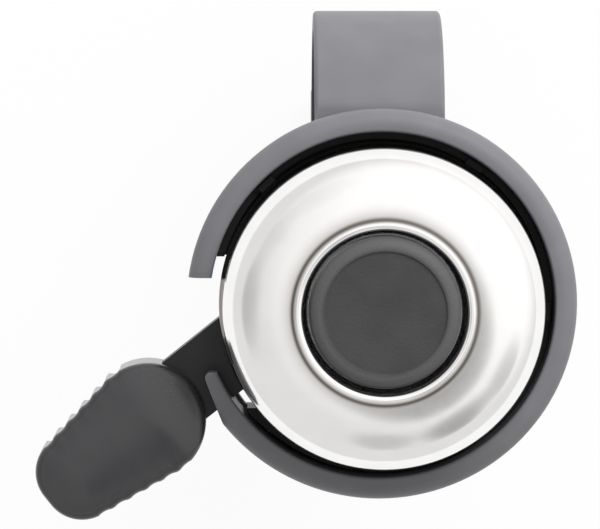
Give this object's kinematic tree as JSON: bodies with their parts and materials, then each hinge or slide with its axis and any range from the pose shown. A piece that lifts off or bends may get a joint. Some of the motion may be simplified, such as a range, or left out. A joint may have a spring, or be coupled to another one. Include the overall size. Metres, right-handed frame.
{
  "type": "bicycle bell",
  "caption": "Handlebar bell with a metal dome in a C-shaped grey housing, a sprung thumb lever with a fluted pad, an inner hammer on a leaf spring and a split clamp.",
  "frame": {"origin": "middle of the handlebar inside the clamp", "axes": "+X along the handlebar, +Z along the dome's axis towards its crown, +Y from the dome towards the clamp"},
  "size_m": [0.0631, 0.059, 0.0599],
  "materials": {
    "grey_plastic": "satin moulded grey",
    "black_plastic": "satin moulded black",
    "soft_touch": "soft-touch dark grey",
    "cap_plastic": "fine texture dark grey",
    "rubber": "matt black",
    "dome_metal": "bright satin",
    "steel": "zinc plated",
    "spring_steel": "bright drawn",
    "brass": "turned"
  },
  "bodies": {
    "frame": {"housing": "grey_plastic", "clamp_bracket": "grey_plastic", "clamp_liner": "rubber", "clamp_screw": "steel", "clamp_washer": "steel", "clamp_nut": "steel", "base_cup": "black_plastic", "base_screws": "steel", "centre_post": "steel", "dome_cushion": "rubber", "dome": "dome_metal", "dome_washer": "steel", "dome_screw": "steel", "centre_cap": "cap_plastic", "pivot_screw": "steel", "pivot_washer": "steel", "return_spring": "spring_steel"},
    "lever_arm": {"lever": "black_plastic", "thumb_pad": "soft_touch", "hammer_spring": "spring_steel", "hammer_rivets": "steel"},
    "hammer": {"hammer_head": "brass"}
  },
  "joints": [
    {"name": "lever_pivot", "type": "hinge", "parent": "frame", "child": "lever_arm", "pos_m": [-0.00392, -0.01282, 0.0208], "axis": [0, 0, 1], "range_deg": [-14.5, 0], "stiffness_Nm_per_rad": 0.06, "springref_deg": 28.65, "deforming": ["return_spring"]},
    {"name": "hammer_flex", "type": "hinge", "parent": "lever_arm", "child": "hammer", "pos_m": [0.00855, -0.00584, 0.0264], "axis": [0, 0, 1], "range_deg": [-7, 4.2], "stiffness_Nm_per_rad": 0.02, "deforming": ["hammer_spring"]}
  ]
}
